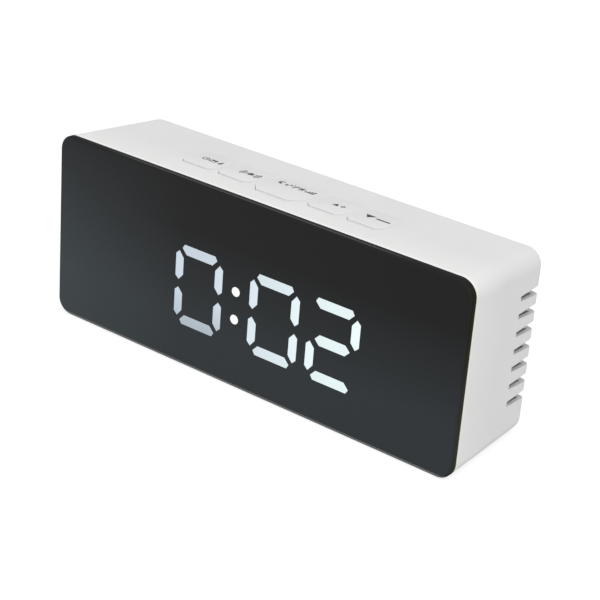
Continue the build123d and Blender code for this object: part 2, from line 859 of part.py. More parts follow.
# Coil springs against the flat ends of the cells
with BuildPart() as battery_springs:
    for index, height in enumerate(cell_heights.values()):
        turn = 1 if index % 2 == 0 else -1
        base = bay_x - turn * (bay_length / 2 - plate_thickness - spring_wire / 2)
        cone = math.degrees(math.atan((spring_tip_radius - spring_base_radius) / spring_length))
        rise = spring_length - spring_wire
        with BuildLine():
            coil = Helix(
                pitch=rise / spring_turns,
                height=rise,
                radius=spring_base_radius,
                center=(base, front_y + cell_depth, height),
                direction=(turn, 0, 0),
                cone_angle=cone,
            )
        with BuildSketch(Plane(origin=coil @ 0, z_dir=coil % 0)):
            Rectangle(spring_wire, spring_wire)
        sweep(path=coil, is_frenet=True)

# Power board on two posts, the inlet and its centre pin
with BuildPart() as power_board:
    with BuildSketch(Plane.XY.offset(power_board_height)):
        with Locations((jack_x, front_y + power_board_rear)):
            Rectangle(power_board_width, power_board_length, align=(Align.CENTER, Align.MAX))
        with Locations(*[(place, front_y + power_post_depth) for place in power_post_places]):
            RegularPolygon(
                small_screw_diameter / 2 + 2 * screw_gap, screw_sides, mode=Mode.SUBTRACT
            )
    extrude(amount=power_board_thickness)

with BuildPart() as power_board_screws:
    board_top = power_board_height + power_board_thickness
    post_places = [(place, front_y + power_post_depth) for place in power_post_places]
    with BuildSketch(Plane.XY.offset(board_top)):
        with Locations(*post_places):
            RegularPolygon(small_head_diameter / 2, screw_sides)
    extrude(amount=small_head_height)
    with BuildSketch(Plane.XY.offset(board_top)):
        with Locations(*post_places):
            RegularPolygon(small_screw_diameter / 2, screw_sides)
    extrude(amount=-(board_top - case_wall - screw_gap))

# Flat twin lead from the power board to the back of the display board
with BuildPart() as jack_lead:
    lead_end = power_board_rear - power_board_length + jack_lead_seat
    with BuildSketch(upright(board_rear)):
        with Locations((jack_x, board_top)):
            Rectangle(jack_lead_width, jack_lead_thickness, align=(Align.CENTER, Align.MIN))
    extrude(amount=-(lead_end - board_rear))

jack_front = power_board_rear - jack_length
with BuildPart() as power_jack:
    with BuildSketch(upright(jack_front)):
        with Locations((jack_x, jack_z)):
            Rectangle(jack_width, jack_height)
    extrude(amount=-jack_length)
    with BuildSketch(upright(power_board_rear)):
        with Locations((jack_x, jack_z)):
            Circle(jack_nose_diameter / 2)
    extrude(amount=-(clock_depth - power_board_rear))
    with BuildSketch(upright(clock_depth)):
        with Locations((jack_x, jack_z)):
            Circle(jack_bore_diameter / 2)
    extrude(amount=jack_bore_depth, mode=Mode.SUBTRACT)

with BuildPart() as jack_pin:
    with BuildSketch(upright(clock_depth - jack_bore_depth)):
        with Locations((jack_x, jack_z)):
            Circle(jack_pin_diameter / 2)
    extrude(amount=-(jack_bore_depth - jack_pin_setback))

# Buzzer held in its ring against the back wall, with a sound port in its face
with BuildPart() as alarm_buzzer:
    with BuildSketch(upright(cavity_rear)):
        with Locations((buzzer_x, buzzer_z)):
            Circle(buzzer_diameter / 2)
    extrude(amount=buzzer_height)
    with BuildSketch(upright(cavity_rear)):
        with Locations((buzzer_x, buzzer_z)):
            Circle(buzzer_port_diameter / 2)
    extrude(amount=buzzer_height / 2, mode=Mode.SUBTRACT)

finished = {
    "mirror_panel": mirror_panel.part,
    "panel_tape": panel_tape.part,
    "front_frame": front_frame.part,
    "rear_housing": rear_housing.part,
    "battery_door": battery_door.part,
    "mask_film": mask_film.part,
    "diffuser_film": diffuser_film.part,
    "segment_reflector": segment_reflector.part,
    "segment_lenses": segment_lenses.part,
    "led_chips": led_chips.part,
    "display_board": display_board.part,
    "board_screws": board_screws.part,
    "clock_chip": clock_chip.part,
    "clock_crystal": clock_crystal.part,
    "supply_capacitor": supply_capacitor.part,
    "chip_resistors": chip_resistors.part,
    "thermistor": thermistor.part,
    "key_board": key_board.part,
    "key_board_screws": key_board_screws.part,
    "tact_switches": tact_switches.part,
    "case_screws": case_screws.part,
    "battery_plates": battery_plates.part,
    "battery_springs": battery_springs.part,
    "power_board": power_board.part,
    "power_board_screws": power_board_screws.part,
    "key_ribbon": key_ribbon.part,
    "jack_lead": jack_lead.part,
    "power_jack": power_jack.part,
    "jack_pin": jack_pin.part,
    "alarm_buzzer": alarm_buzzer.part,
    **key_parts,
    **cell_parts,
}
for name, part in finished.items():
    part.label = name
    export_step(part, "parts/" + name + ".step")
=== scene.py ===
# %% [markdown]
# # A digital LED desk clock
# The real clock is a white tapered tub with a dark mirror panel on its front and five buttons in its
# top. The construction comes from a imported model, in metres, with every piece already in its place.
# These cells give each piece its finish, and add what is drawn, lit or very fine.

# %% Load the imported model
import math

import bmesh
import bpy
from mathutils import Matrix, Quaternion, Vector


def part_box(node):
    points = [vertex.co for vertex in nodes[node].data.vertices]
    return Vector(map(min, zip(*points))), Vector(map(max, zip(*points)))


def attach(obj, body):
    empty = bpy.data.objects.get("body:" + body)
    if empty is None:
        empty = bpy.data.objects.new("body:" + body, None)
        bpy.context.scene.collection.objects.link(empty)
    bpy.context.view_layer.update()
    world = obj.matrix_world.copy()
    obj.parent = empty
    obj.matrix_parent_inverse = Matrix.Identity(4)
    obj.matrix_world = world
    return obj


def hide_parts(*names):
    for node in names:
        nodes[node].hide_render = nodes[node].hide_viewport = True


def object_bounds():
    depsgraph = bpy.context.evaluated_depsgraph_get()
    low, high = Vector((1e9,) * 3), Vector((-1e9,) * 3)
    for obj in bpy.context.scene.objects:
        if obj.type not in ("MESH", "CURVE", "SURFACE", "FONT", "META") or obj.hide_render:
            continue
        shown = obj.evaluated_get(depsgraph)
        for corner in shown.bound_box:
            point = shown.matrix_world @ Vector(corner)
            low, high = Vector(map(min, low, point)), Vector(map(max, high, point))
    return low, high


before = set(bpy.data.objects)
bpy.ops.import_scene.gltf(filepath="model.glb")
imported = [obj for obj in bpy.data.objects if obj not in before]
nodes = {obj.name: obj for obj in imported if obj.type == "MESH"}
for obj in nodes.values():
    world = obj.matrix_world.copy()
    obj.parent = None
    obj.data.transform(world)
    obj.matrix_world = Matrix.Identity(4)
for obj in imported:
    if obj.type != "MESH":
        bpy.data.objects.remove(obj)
frame_box = [list(corner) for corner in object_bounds()]
millimetre = 0.001
square = [(-1, -1), (1, -1), (1, 1), (-1, 1)]

# %% [markdown]
# ## Node trees from plain sums
# A shader is a sum of masks and colours. Written node by node it takes pages, so one small class
# wraps an output socket and turns `a + b` or `1 - a` into Math nodes, and one method adds any other
# node: first its sockets, then its settings. A wire knows its graph, so a function needs only the
# wires that it works on. The same two classes serve the Geometry Nodes below.

# %% Wires and graphs
def sum_of(operation):
    """A method that joins a wire and a number or another wire by one Math node."""
    return lambda wire, other: wire.math(operation, wire, other)


class Wire:
    """An output socket that takes part in sums: each sum adds one Math node."""

    def __init__(self, graph, socket):
        self.graph = graph
        self.socket = socket

    def math(self, operation, first, second=0.0):
        return self.graph.add("ShaderNodeMath", {0: first, 1: second}, {"operation": operation})

    __add__ = __radd__ = sum_of("ADD")
    __mul__ = __rmul__ = sum_of("MULTIPLY")
    __sub__ = sum_of("SUBTRACT")
    __gt__ = sum_of("GREATER_THAN")
    __lt__ = sum_of("LESS_THAN")

    def __rsub__(self, other):
        return self.math("SUBTRACT", other, self)

    def __abs__(self):
        return self.math("ABSOLUTE", self)

    def scaled(self, share):
        """The same vector or colour at a share of its length."""
        sockets = {0: self, "Scale": share}
        return self.graph.add("ShaderNodeVectorMath", sockets, {"operation": "SCALE"})

    def output(self, name):
        """Another output of the same node."""
        return Wire(self.graph, self.socket.node.outputs[name])


class Graph:
    """A node tree under construction."""

    def __init__(self, tree, material=None):
        self.tree = tree
        self.material = material

    def add(self, kind, sockets=None, settings=None, output=0):
        """Adds a node, sets it up, fills its sockets with values or wires, and gives an output."""
        node = self.tree.nodes.new(kind)
        for name, value in (settings or {}).items():
            setattr(node, name, value)
        for key, value in (sockets or {}).items():
            if isinstance(value, Wire):
                self.tree.links.new(value.socket, node.inputs[key])
            else:
                node.inputs[key].default_value = value
        return Wire(self, node.outputs[output]) if node.outputs else None


def new_material(name):
    """The graph of a new, empty material."""
    material = bpy.data.materials.new(name)
    material.use_nodes = True
    material.node_tree.nodes.clear()
    return Graph(material.node_tree, material)


# %% [markdown]
# ## The camera
# The photograph was taken with a long lens from the clock's right, well above it, with the camera
# tipped a little to one side. Place, direction, roll and lens were fitted to the panel's corners.

# %% Camera
camera_place = Vector((0.2674, -0.35333, 0.22469))
camera_aim = Vector((-0.54219, 0.73003, -0.41604))
camera_roll = math.radians(4.54)
scene = bpy.context.scene


def add_object(name, data):
    """A new object in the scene."""
    thing = bpy.data.objects.new(name, data)
    scene.collection.objects.link(thing)
    return thing


def add_aimed(name, data, place, direction, roll=0.0):
    """A camera or a lamp at a place, facing along a direction."""
    thing = add_object(name, data)
    thing.rotation_mode = "QUATERNION"
    thing.location = place
    thing.rotation_quaternion = direction.to_track_quat("-Z", "Y") @ Quaternion((0, 0, 1), roll)
    return thing


camera_data = bpy.data.cameras.new("camera")
camera_data.lens = 104.45
camera_data.sensor_width = 36
camera_data.clip_start = 0.01
camera = add_aimed("camera", camera_data, camera_place, camera_aim, camera_roll)
scene.camera = camera
scene.view_settings.view_transform = "Standard"
print("Camera at", tuple(camera.location), "with a", camera_data.lens, "mm lens")

# %% [markdown]
# ## A white sweep and soft light
# A product shot of a white clock on white paper has almost no shadow. Raising the lamps until the
# floor clips would burn out the clock too. Here the floor adds its own white only for rays from the
# camera or from a reflection, and keeps the soft shadow under the clock.

# %% Floor, world and lamps
floor_half = 4.0
floor_colour = (0.7, 0.7, 0.7, 1)
floor_tint = (0.42, 0.42, 0.42, 1)
floor_glow = 0.73
world_light = 0.5
softbox_place = Vector((0.52, -0.6, 1.0))
softbox_size, softbox_power = 1.2, 9.1


def seen_directly(graph):
    """1 for rays that come from the camera, a reflection or a see-through surface."""
    rays = graph.add("ShaderNodeLightPath", output="Is Camera Ray")
    direct = rays + rays.output("Is Glossy Ray") + rays.output("Is Transmission Ray")
    return graph.add("ShaderNodeClamp", {"Value": direct})


def make_floor():
    """A wide sheet of white paper that the clock stands on."""
    graph = new_material("white_paper")
    graph.material.cycles.emission_sampling = "NONE"
    paper = graph.add("ShaderNodeBsdfDiffuse", {"Color": floor_colour})
    glow = graph.add("ShaderNodeEmission", {"Color": (1, 1, 1, 1), "Strength": floor_glow})
    shaded = graph.add("ShaderNodeBsdfDiffuse", {"Color": floor_tint})
    bright = graph.add("ShaderNodeAddShader", {0: shaded, 1: glow})
    surface = graph.add("ShaderNodeMixShader", {0: seen_directly(graph), 1: paper, 2: bright})
    graph.add("ShaderNodeOutputMaterial", {"Surface": surface})
    mesh = bpy.data.meshes.new("floor")
    mesh.from_pydata([(x * floor_half, y * floor_half, 0) for x, y in square], [], [(0, 1, 2, 3)])
    mesh.materials.append(graph.material)
    floor = add_object("floor", mesh)


def make_world():
    """An even white surround: full white to look at, and half of that as light."""
    world = bpy.data.worlds.new("surround")
    world.use_nodes = True
    world.node_tree.nodes.clear()
    graph = Graph(world.node_tree)
    strength = world_light + (1 - world_light) * seen_directly(graph)
    glow = graph.add("ShaderNodeBackground", {"Color": (1, 1, 1, 1), "Strength": strength})
    graph.add("ShaderNodeOutputWorld", {"Surface": glow})
    scene.world = world


def make_softbox():
    """One square softbox above the camera, turned towards the clock."""
    lamp = bpy.data.lights.new("key_softbox", "AREA")
    lamp.size = softbox_size
    lamp.energy = softbox_power
    clock_middle = (Vector(frame_box[0]) + Vector(frame_box[1])) / 2
    add_aimed("key_softbox", lamp, softbox_place, clock_middle - softbox_place)


make_floor()
make_world()
make_softbox()
print("Lit by", world_light, "of white all round and one softbox")

# %% [markdown]
# ## Moulded plastic
# Injection-moulded plastic is never one flat colour: it has a faint cloudiness, a gloss that shifts
# a little, and the fine spark-eroded grain of its mould. Three noises do that, at three scales. They
# read Object coordinates, which for these pieces are the clock's own metres, so the grain is as
# coarse on a button as on the tub.

# %% Plastic finishes
grain_depth = 1.5e-6
noise_low, noise_high = 0.3, 0.7


def tone(red, green, blue):
    """A colour written as screen values from 0 to 255, as the linear colour that a shader takes."""
    shares = [value / 255 for value in (red, green, blue)]
    linear = [v / 12.92 if v <= 0.04045 else ((v + 0.055) / 1.055) ** 2.4 for v in shares]
    return (*linear, 1)


def start_finish(name):
    """The Object coordinates of a new material. Every wire leads back to its own graph."""
    return new_material(name).add("ShaderNodeTexCoord", output="Object")


def share_along(value, start, end, low=0.0, high=1.0):
    """How far a wire has come from start to end, as a number from low to high."""
    span = {"From Min": start, "From Max": end, "To Min": low, "To Max": high}
    return value.graph.add("ShaderNodeMapRange", {"Value": value, **span})


def noise(place, scale, low, high, detail=3.0):
    """Cloudy noise over the surface, from low to high."""
    sockets = {"Vector": place, "Scale": scale, "Detail": detail}
    raw = place.graph.add("ShaderNodeTexNoise", sockets)
    return share_along(raw, noise_low, noise_high, low, high)


def blend(share, first, second):
    """One colour turning into another as the share goes from 0 to 1."""
    sockets = {0: share, 6: first, 7: second}
    return share.graph.add("ShaderNodeMix", sockets, {"data_type": "RGBA"}, output=2)


def bump(height, distance):
    """A Bump node: the height wire is scaled to a real distance."""
    return height.graph.add("ShaderNodeBump", {"Height": height, "Distance": distance})


def grained(place, scale, depth=grain_depth):
    """The normals of a surface with a fine grain."""
    return bump(noise(place, scale, 0, 1, 2.0), depth)


def close_finish(wire, **sockets):
    """Ends a wire's finish in one shader, whose sockets are named with underscores for spaces."""
    filled = {name.replace("_", " "): value for name, value in sockets.items()}
    surface = wire.graph.add("ShaderNodeBsdfPrincipled", filled)
    wire.graph.add("ShaderNodeOutputMaterial", {"Surface": surface})
    return wire.graph.material


def cloudy(place, colour, depth=0.97, scale=60.0):
    """A colour that drifts over the surface, down to a share of its light."""
    darker = (*(channel * depth for channel in colour[:3]), 1)
    return blend(noise(place, scale, 0, 1), darker, colour)


def moulded(place, base, roughness, grain=4200.0):
    """Closes a finish as moulded plastic of this base colour."""
    return close_finish(
        place,
        Base_Color=base,
        Roughness=noise(place, 260.0, roughness - 0.04, roughness + 0.04),
        Normal=grained(place, grain),
        Specular_IOR_Level=0.45,
    )


def plastic(name, colour, roughness, cloud=0.97, grain=4200.0):
    """Moulded plastic with a cloudy colour, an uneven gloss and a fine grain."""
    place = start_finish(name)
    return moulded(place, cloudy(place, colour, cloud), roughness, grain)


def axes(place):
    """The X, Y and Z of a place, as three wires."""
    split = place.graph.add("ShaderNodeSeparateXYZ", {"Vector": place})
    return split, split.output("Y"), split.output("Z")


def between(value, low, high):
    """1 where a wire lies between two numbers or wires."""
    return (value > low) * (value < high)


def within(radius, first, second):
    """1 within a radius of a line, from the distances to it in two directions."""
    return first * first + second * second < radius * radius


def give(material, *names):
    """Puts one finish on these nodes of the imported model."""
    for name in names:
        data = nodes[name].data
        data.materials.clear()
        data.materials.append(material)


panel_low, panel_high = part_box("mirror_panel")
# Painted light: the shell's white is painted a touch lighter over the first 16 mm behind the panel.
painted_light_tone, shell_tone = tone(246, 246, 245), tone(237, 237, 237)
painted_light_fade = 16.0 * millimetre


def shell_white_painted_light(place):
    """The shell's cloudy white, with painted light that makes it a touch lighter towards the panel.
    """
    share = share_along(axes(place)[1], panel_high.y, panel_high.y + painted_light_fade)
    return blend(share, cloudy(place, painted_light_tone), cloudy(place, shell_tone))


case_white = plastic("case_white", shell_tone, 0.42)
give(case_white, "battery_door")
print("White plastic on the door")

# %% [markdown]
# ## The tub, white outside, with painted shade within
# The walls are white plastic, but the vents look almost black, because the inside of the tub is
# painted dark grey as painted shade. The imported tub is one mesh, so the painted shade is a mask:
# all that lies deeper than the wall's thickness, apart from the battery bay and the four screw wells,
# which open to the outside. In the side vents the painted shade reaches part of the way out through
# the wall, and the rest of their walls is painted greyer towards the back, as painted shade. So is
# the foot of the tub. Near the panel the white is painted a touch lighter, as painted light. The rim
# in front is as white, with a painted highlight: a bright line beside the panel, creamy at the right.

# %% Tub finish
panel_front = panel_low.y
housing_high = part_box("rear_housing")[1]
case_wall = 2.0 * millimetre
rear_wall = 2.2 * millimetre
skin_depth = 0.05 * millimetre
side_shade_reach = 0.75 * millimetre
foot_shade_top, foot_shade_bottom = 3.8 * millimetre, 2.2 * millimetre
rim_highlight_band, rim_cream = 1.0 * millimetre, 4.0 * millimetre
shell_depth = housing_high.y - panel_high.y
case_taper = 2.25 * millimetre
bay_middle = Vector((-18.0, 22.9)) * millimetre
bay_half = Vector((25.5, 17.15)) * millimetre
bay_floor = 5.8 * millimetre
bay_half_wall = 0.6 * millimetre
well_middle = Vector((54.0, 27.15)) * millimetre
well_half_height = 18.65 * millimetre
well_radius = 3.5 * millimetre
rear_radius = 2.0 * millimetre
vent_front, vent_shade_fade, vent_inner = 8.0 * millimetre, 3.5 * millimetre, 57.7 * millimetre
vent_low, vent_high = 9.0 * millimetre, 46.0 * millimetre


def inside_tub_shade(place):
    """1 on the surfaces that face the inside of the closed case, which are painted dark as painted
    shade.
    """
    x, y, z = axes(place)
    narrowing = (y - panel_high.y) * (case_taper / shell_depth)
    side_limit = panel_high.x - case_wall + side_shade_reach - narrowing
    top_limit = panel_high.z - case_wall - skin_depth - narrowing
    deep = (abs(x) < side_limit) * between(z, case_wall + skin_depth, top_limit)
    deep = deep * (y < housing_high.y - rear_wall - skin_depth)
    in_bay = (abs(x - bay_middle.x) < bay_half.x + bay_half_wall) * (y > bay_floor - bay_half_wall)
    in_bay = in_bay * (abs(z - bay_middle.y) < bay_half.y + bay_half_wall)
    from_well = abs(x) - well_middle.x
    level = abs(z - well_middle.y) - well_half_height
    return deep * (1 - in_bay) * (1 - within(well_radius, from_well, level))


def vent_wall_shade(place):
    """Up to 1 on the walls of the vents, behind the outer skin with its rounded rear edge, where
    painted shade greys them towards the back.
    """
    x, y, z = axes(place)
    narrowing = (y - panel_high.y) * (case_taper / shell_depth)
    across = abs(x) + narrowing - (panel_high.x - rear_radius)
    back = y - (housing_high.y - rear_radius)
    across, back = (wire.math("MAXIMUM", wire) for wire in (across, back))
    behind = within(rear_radius - 2 * skin_depth, across, back)
    behind = behind * share_along(y, vent_front, vent_front + vent_shade_fade)
    return behind * (abs(x) > vent_inner) * between(z, vent_low, vent_high)


def tub_finish():
    place = start_finish("case_white_coated")
    # Painted shade: the foot of the tub is painted darker towards the floor.
    foot = share_along(axes(place)[2], foot_shade_top, foot_shade_bottom)
    white = blend(foot, shell_white_painted_light(place), tone(205, 204, 203))
    # Painted shade: the vent walls are painted greyer towards the back.
    white = blend(vent_wall_shade(place), white, tone(213, 212, 209))
    # Painted shade: the inside of the tub is painted dark grey.
    base = blend(inside_tub_shade(place), white, tone(34, 34, 35))
    return moulded(place, base, 0.42)


def rim_finish():
    place = start_finish("rim_white")
    x, y, z = axes(place)
    to_right = share_along(x, panel_high.x - rim_cream, panel_high.x)
    # Painted highlight: a bright line on the rim beside the panel, turning creamy at the right.
    line = blend(to_right, tone(255, 255, 255), tone(250, 249, 238))
    base = blend(y < panel_high.y + rim_highlight_band, shell_white_painted_light(place), line)
    return moulded(place, base, 0.4)


give(tub_finish(), "rear_housing")
give(rim_finish(), "front_frame")
print("The tub's wall is", round(case_wall / millimetre, 1), "mm thick, and dark behind that")

# %% [markdown]
# ## The mirror panel
# The panel is smoked acrylic with a half mirror behind it. From the front it is almost black, with a
# weak reflection of whatever stands before it, which is a clear coat here. Low down and at its left
# end it is painted a little greyer, as a painted reflection, and the bevel at its foot is painted as
# a grey line, a painted reflection too. Its bevels and its edge have no gloss. The edge turns olive
# at the right, and the ridge along the top has a painted highlight.

# %% Panel finish
face_skin = 0.01 * millimetre
edge_start = 0.35 * millimetre
edge_reach = 6.0 * millimetre
foot_reflection_line = 1.1 * millimetre
ridge_near, ridge_far = 0.5 * millimetre, 0.75 * millimetre
ridge_end, ridge_full = 54.0 * millimetre, 40.0 * millimetre
reflection_left = -22.0 * millimetre
reflection_start, reflection_top, reflection_bottom = 60.0 * millimetre, 42.0 * millimetre, 15.0 * millimetre
reflection_at_left, reflection_at_foot = 0.5, 0.56


def panel_finish():
    place = start_finish("panel_black")
    x, y, z = axes(place)
    # Painted reflection: the face and its bevels are painted greyer low down and towards the left
    # end.
    to_left = share_along(x, reflection_left, panel_low.x) * share_along(z, reflection_start, reflection_top)
    to_bottom = share_along(z, reflection_top, reflection_bottom)
    painted_reflection = to_left * reflection_at_left + to_bottom * reflection_at_foot
    face = blend(painted_reflection, tone(15, 15, 16), tone(56, 65, 69))
    bevel = y > panel_front + face_skin
    polished = blend(painted_reflection, tone(42, 42, 43), tone(62, 68, 71))
    olive = blend(painted_reflection, tone(38, 38, 29), tone(60, 63, 60))
    at_right = share_along(x, panel_high.x - edge_reach, panel_high.x)
    edge = blend((y > panel_front + edge_start) * at_right, polished, olive)
    # Painted highlight: a light line along the ridge at the top of the edge.
    ridge_highlight = between(y, panel_front + ridge_near, panel_front + ridge_far)
    ridge_highlight = ridge_highlight * (z > panel_high.z - ridge_far) * share_along(abs(x), ridge_end, ridge_full)
    edge = blend(ridge_highlight, edge, tone(80, 80, 81))
    # Painted reflection: the bevel along the panel's foot is painted as a grey line.
    foot = z < panel_low.z + foot_reflection_line
    return close_finish(
        place,
        Base_Color=blend(foot, blend(bevel, face, edge), tone(110, 112, 113)),
        Roughness=noise(place, 35.0, 0.5, 0.6),
        Specular_IOR_Level=0.02,
        Coat_Weight=1 - bevel,
        Coat_Roughness=0.04,
        Coat_IOR=1.24,
    )


give(panel_finish(), "mirror_panel")
print("The panel's face is at", round(panel_front / millimetre, 2), "mm")

# %% [markdown]
# ## Lit digits
# Each digit is seven bars, and a bar is one of three shapes mirrored about the digit's middle. So
# three prisms are modelled, and Geometry Nodes set one on a point for every lit bar. The point
# carries which prism it takes and how it is mirrored. A mirrored prism comes out inside out, so the
# normals are worked out again in the plain mesh.

# %% Closed shells and circles
def add_shell(shape, rings):
    """Adds a closed shell through rings of as many points each, with a flat face at either end."""
    loops = [[shape.verts.new(point) for point in ring] for ring in rings]
    shape.faces.new(loops[0][::-1])
    shape.faces.new(loops[-1])
    for low, high in zip(loops, loops[1:]):
        for here in range(len(low)):
            after = (here + 1) % len(low)
            shape.faces.new((low[here], low[after], high[after], high[here]))


def write_shape(shape, mesh):
    """Writes a shape into a mesh, its faces outwards."""
    bmesh.ops.recalc_face_normals(shape, faces=shape.faces)
    shape.to_mesh(mesh)
    shape.free()
    return mesh


def shell_mesh(name, *shells):
    """A plain mesh of closed shells."""
    shape = bmesh.new()
    for rings in shells:
        add_shell(shape, rings)
    return write_shape(shape, bpy.data.meshes.new(name))


def smooth(mesh, limit):
    """Smooth shading, apart from edges that turn by more than a limit in degrees."""
    mesh.shade_smooth()
    mesh.set_sharp_from_angle(angle=math.radians(limit))


def arc(x, y, radius, start, end, steps=10):
    """Points along part of a circle, between two angles in degrees."""
    turns = [math.radians(start + (end - start) * step / steps) for step in range(steps + 1)]
    return [(x + radius * math.cos(turn), y + radius * math.sin(turn)) for turn in turns]


def circle(x, y, radius, steps=24):
    """The points of a whole circle."""
    return arc(x, y, radius, 0, 360, steps)[:-1]


# %% Bar shapes
digit_pitch = 20.05 * millimetre
middle_pitch = 26.8 * millimetre
digit_half_height = 12.1 * millimetre
display_place = Vector((-2.98, 0, 24.75)) * millimetre
bar_depth = 0.04 * millimetre
level_bar_start, level_bar_half = 9.1 * millimetre, 1.6 * millimetre
level_bar_loss = 0.07

bar_outlines = {
    "top": [(-5.55, 12.05), (5.55, 12.05), (6.3, 10.85), (4.7, 9.15), (-4.7, 9.15), (-6.3, 10.85)],
    "side": [(8.52, 2.2), (8.52, 8.75), (7.35, 9.85), (5.78, 7.9), (5.78, 2.9), (7.35, 1.15)],
    "middle": [(-5.8, 0), (-4.25, 1.55), (4.25, 1.55), (5.8, 0), (4.25, -1.55), (-4.25, -1.55)],
}


def plate(outline, front, back):
    """The two rings of a thin upright plate, from (across, up) points in millimetres."""
    return [[(x * millimetre, y, z * millimetre) for x, z in outline] for y in (back, front)]


def plain_mesh(holder, name):
    """The evaluated result of a holder's modifiers as a plain mesh, its normals facing outwards."""
    bpy.context.view_layer.update()
    evaluated = holder.evaluated_get(bpy.context.evaluated_depsgraph_get())
    mesh = bpy.data.meshes.new_from_object(evaluated)
    mesh.name = name
    holder.modifiers.clear()
    bpy.data.objects.remove(holder)
    shape = bmesh.new()
    shape.from_mesh(mesh)
    bmesh.ops.remove_doubles(shape, verts=shape.verts, dist=1e-7)
    return write_shape(shape, mesh)


def add_piece(mesh, body, material=None):
    """A finished piece: an object at the origin that rides on a body."""
    piece = add_object(mesh.name, mesh)
    if material:
        mesh.materials.clear()
        mesh.materials.append(material)
    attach(piece, body)
    return piece


bars = {
    "top": (0, (1, 1, 1)),
    "upper_right": (1, (1, 1, 1)),
    "lower_right": (1, (1, 1, -1)),
    "bottom": (0, (1, 1, -1)),
    "lower_left": (1, (-1, 1, -1)),
    "upper_left": (1, (-1, 1, 1)),
    "middle": (2, (1, 1, 1)),
}
lit_bars = {
    "0": ("top", "upper_right", "lower_right", "bottom", "lower_left", "upper_left"),
    "2": ("top", "upper_right", "middle", "lower_left", "bottom"),
}
inner_place = middle_pitch / 2
outer_place = inner_place + digit_pitch
digit_places = [-outer_place, -inner_place, inner_place, outer_place]
shown_digits = " 002"

# %% Light of the bars and the dots
def glowing(glow):
    """Closes a finish as dark plastic that glows in this colour."""
    return close_finish(
        glow,
        Base_Color=tone(20, 20, 20),
        Roughness=0.05,
        Specular_IOR_Level=0.1,
        Emission_Color=glow,
        Emission_Strength=1.0,
    )


def lit_finish():
    place = start_finish("lit_bars")
    x, y, z = axes(place)
    along = share_along(x, display_place.x - inner_place, display_place.x + outer_place)
    rise = z - display_place.z
    sinking = share_along(rise, 0, -digit_half_height) * (x < display_place.x)
    light = blend(along, tone(205, 217, 229), tone(238, 252, 254))
    light = blend(sinking, light, tone(176, 189, 198))
    level = (abs(rise) > level_bar_start) + (abs(rise) < level_bar_half)
    return glowing(light.scaled(1 - level * level_bar_loss))


def dot_finish():
    place = start_finish("lit_dots")
    return glowing(cloudy(place, tone(255, 255, 255), 0.99))


# %% Bars on points
def start_tree(name, inputs):
    """The graph of a new Geometry Nodes tree that starts from points, and its input node."""
    tree = bpy.data.node_groups.new(name, "GeometryNodeTree")
    for label, kind in (("Points", "Geometry"), *inputs):
        tree.interface.new_socket(label, in_out="INPUT", socket_type="NodeSocket" + kind)
    tree.interface.new_socket("Result", in_out="OUTPUT", socket_type="NodeSocketGeometry")
    graph = Graph(tree)
    return graph, graph.add("NodeGroupInput", output="Points")


def on_point(graph, name, kind):
    """What each point carries under a name."""
    return graph.add("GeometryNodeInputNamedAttribute", {"Name": name}, {"data_type": kind})


def end_tree(placed, material):
    """Ends a tree: its instances become plain geometry of one material."""
    real = placed.graph.add("GeometryNodeRealizeInstances", {"Geometry": placed})
    sockets = {"Geometry": real, "Material": material}
    dressed = placed.graph.add("GeometryNodeSetMaterial", sockets)
    placed.graph.add("NodeGroupOutput", {"Result": dressed})
    return placed.graph.tree


def scatter_tree(name, material):
    """Geometry Nodes: one of the shapes in a collection on each point, mirrored as the point says."""
    graph, given = start_tree(name, (("Shapes", "Collection"), ("Size", "Float")))
    source = {"Collection": given.output("Shapes"), "Separate Children": True, "Reset Children": True}
    shapes = graph.add("GeometryNodeCollectionInfo", source)
    sized = on_point(graph, "mirror", "FLOAT_VECTOR").scaled(given.output("Size"))
    chosen = {"Pick Instance": True, "Instance Index": on_point(graph, "kind", "INT")}
    sockets = {"Points": given, "Instance": shapes, **chosen, "Scale": sized}
    return end_tree(graph.add("GeometryNodeInstanceOnPoints", sockets), material)


def on_points(name, attributes, tree, **values):
    """The plain mesh that a tree makes of points, their attributes and its named inputs."""
    points = bpy.data.meshes.new(name + "_points")
    points.from_pydata(attributes.pop("place"), [], [])
    for label, (kind, field, items) in attributes.items():
        points.attributes.new(label, kind, "POINT").data.foreach_set(field, items)
    holder = add_object(name + "_points", points)
    modifier = holder.modifiers.new(name, "NODES")
    modifier.node_group = tree
    for item in tree.interface.items_tree:
        if item.in_out == "INPUT" and item.name.lower() in values:
            modifier[item.identifier] = values[item.name.lower()]
    return plain_mesh(holder, name)


def set_out(name, meshes, places, material):
    """Meshes set out on points: each place is a point, the number of its mesh and a mirroring."""
    shapes = bpy.data.collections.new(name + "_shapes")
    for index, mesh in enumerate(meshes):
        shapes.objects.link(bpy.data.objects.new("%s_%d" % (name, index), mesh))
    points, kinds, mirrors = zip(*places)
    attributes = {
        "place": points,
        "kind": ("INT", "value", kinds),
        "mirror": ("FLOAT_VECTOR", "vector", [share for mirror in mirrors for share in mirror]),
    }
    return on_points(name, attributes, scatter_tree(name, material), shapes=shapes, size=1.0)


def make_digits():
    """The bars of the time that the clock shows."""
    prisms = [
        shell_mesh(name + "_bar", plate(outline, -bar_depth, 0))
        for name, outline in bar_outlines.items()
    ]
    chosen = [
        ((display_place.x + across, panel_front, display_place.z), *bars[bar])
        for digit, across in zip(shown_digits, digit_places)
        for bar in lit_bars.get(digit, ())
    ]
    return add_piece(set_out("lit_digits", prisms, chosen, lit_finish()), "clock")


